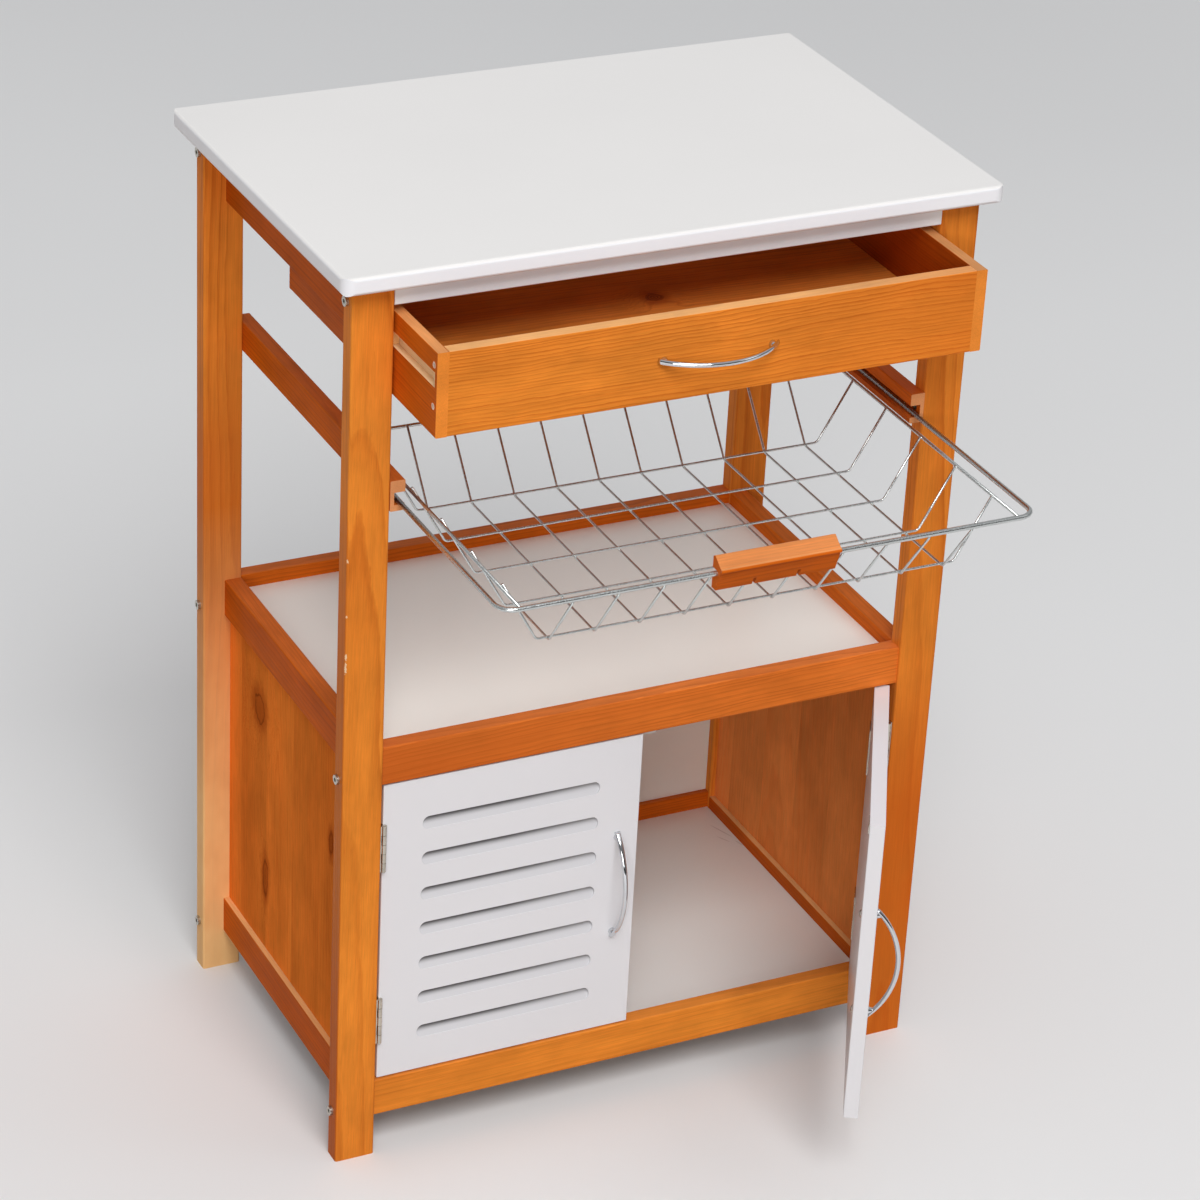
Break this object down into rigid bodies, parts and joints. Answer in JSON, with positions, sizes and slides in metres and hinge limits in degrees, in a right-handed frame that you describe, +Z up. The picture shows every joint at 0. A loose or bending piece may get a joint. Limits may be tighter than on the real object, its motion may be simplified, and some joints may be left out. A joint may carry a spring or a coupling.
{
  "type": "kitchen trolley",
  "caption": "Pine kitchen trolley with a white worktop, a drawer, a pull-out wire basket and a cabinet behind two white louvre-grooved doors",
  "frame": {"origin": "on the floor under the middle of the carcass, between the four legs", "axes": "+X to the user's right, +Y from the doors to the back, +Z up"},
  "size_m": [0.588, 0.5715, 0.84],
  "materials": {
    "pine": "clear lacquered pine, honey coloured, with knots",
    "pine_light": "plain pine, lighter",
    "beech": "raw beech",
    "white_board": "white lacquer on fibreboard",
    "bright_wire": "bright chrome plated steel wire",
    "polished_handle": "polished chrome",
    "nickel_hinge": "nickel plated, satin",
    "steel_fastener": "zinc plated steel",
    "white_plastic": "white moulded plastic"
  },
  "bodies": {
    "carcass": {"worktop": "white_board", "front_apron": "white_board", "back_apron": "pine", "leg_front_left": "pine", "leg_front_right": "pine", "leg_back_left": "pine", "leg_back_right": "pine", "top_rail_left": "pine", "top_rail_right": "pine", "mid_rail_front": "pine", "mid_rail_back": "pine", "mid_rail_left": "pine", "mid_rail_right": "pine", "low_rail_front": "pine", "low_rail_back": "pine", "low_rail_left": "pine", "low_rail_right": "pine", "mid_shelf": "white_board", "bottom_shelf": "white_board", "side_panel_left": "pine", "side_panel_right": "pine", "back_panel": "white_board", "drawer_runner_left": "pine_light", "drawer_runner_right": "pine_light", "basket_runner_left": "pine", "basket_runner_right": "pine", "leg_bolts": "steel_fastener", "barrel_nuts": "steel_fastener", "dowels": "beech", "top_brackets": "steel_fastener", "frame_screws": "steel_fastener", "hinge_frame_leaves": "nickel_hinge", "hinge_pins": "nickel_hinge", "catch_body": "white_plastic", "catch_poles": "steel_fastener"},
    "drawer": {"drawer_front": "pine", "drawer_side_left": "pine", "drawer_side_right": "pine", "drawer_back": "pine", "drawer_bottom": "pine_light", "drawer_handle": "polished_handle", "drawer_screws": "steel_fastener"},
    "basket": {"basket_rod": "bright_wire", "basket_rim": "bright_wire", "basket_long_wires": "bright_wire", "basket_cross_wires": "bright_wire", "basket_grip": "pine"},
    "left_door": {"door_left": "white_board", "door_handle_left": "polished_handle", "hinge_leaves_left": "nickel_hinge", "door_screws_left": "steel_fastener", "strike_plate_left": "steel_fastener"},
    "right_door": {"door_right": "white_board", "door_handle_right": "polished_handle", "hinge_leaves_right": "nickel_hinge", "door_screws_right": "steel_fastener", "strike_plate_right": "steel_fastener"}
  },
  "joints": [
    {"name": "drawer_slide", "type": "slide", "parent": "carcass", "child": "drawer", "axis": [0, -1, 0], "range_m": [-0.08, 0.12]},
    {"name": "basket_slide", "type": "slide", "parent": "carcass", "child": "basket", "axis": [0, -1, 0], "range_m": [-0.19, 0.06]},
    {"name": "left_door_hinge", "type": "hinge", "parent": "carcass", "child": "left_door", "pos_m": [-0.2405, -0.1683, 0.222], "axis": [0, 0, -1], "range_deg": [0, 160]},
    {"name": "right_door_hinge", "type": "hinge", "parent": "carcass", "child": "right_door", "pos_m": [0.2405, -0.1683, 0.222], "axis": [0, 0, 1], "range_deg": [-60, 100]}
  ]
}
